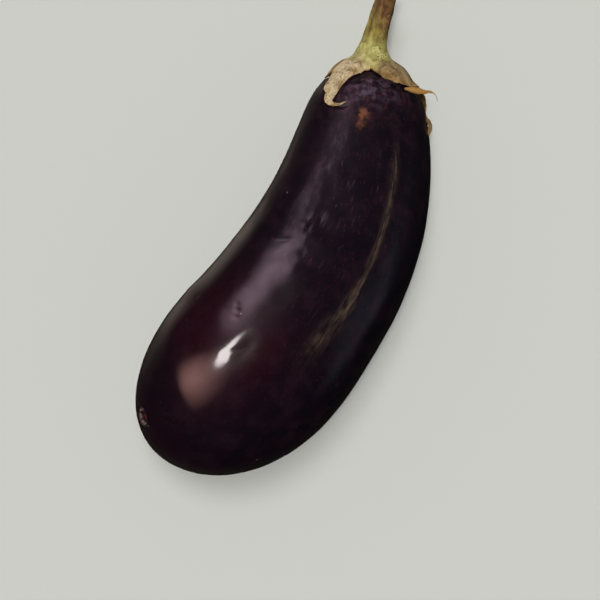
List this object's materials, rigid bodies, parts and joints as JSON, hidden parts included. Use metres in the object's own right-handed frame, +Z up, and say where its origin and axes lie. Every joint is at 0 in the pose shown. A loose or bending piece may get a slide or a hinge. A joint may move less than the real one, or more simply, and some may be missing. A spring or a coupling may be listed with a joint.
{
  "type": "eggplant",
  "caption": "Whole purple eggplant lying on its side: a glossy bent fruit with a broad bulb and a narrower neck, a dry tan calyx and a cut green-brown stem.",
  "frame": {"origin": "middle of the flat strip under the fruit, on the surface it rests on", "axes": "+Z up from the surface, +Y towards the cut stem, +X towards the outside of the fruit's bend"},
  "size_m": [0.13, 0.2139, 0.082],
  "materials": {
    "skin": "glossy, near-black purple skin",
    "husk": "dry, matte, wrinkled tan husk",
    "stalk": "matte, ridged green-brown stalk"
  },
  "bodies": {
    "root": {"fruit": "skin", "calyx": "husk", "stem": "stalk"}
  },
  "joints": []
}
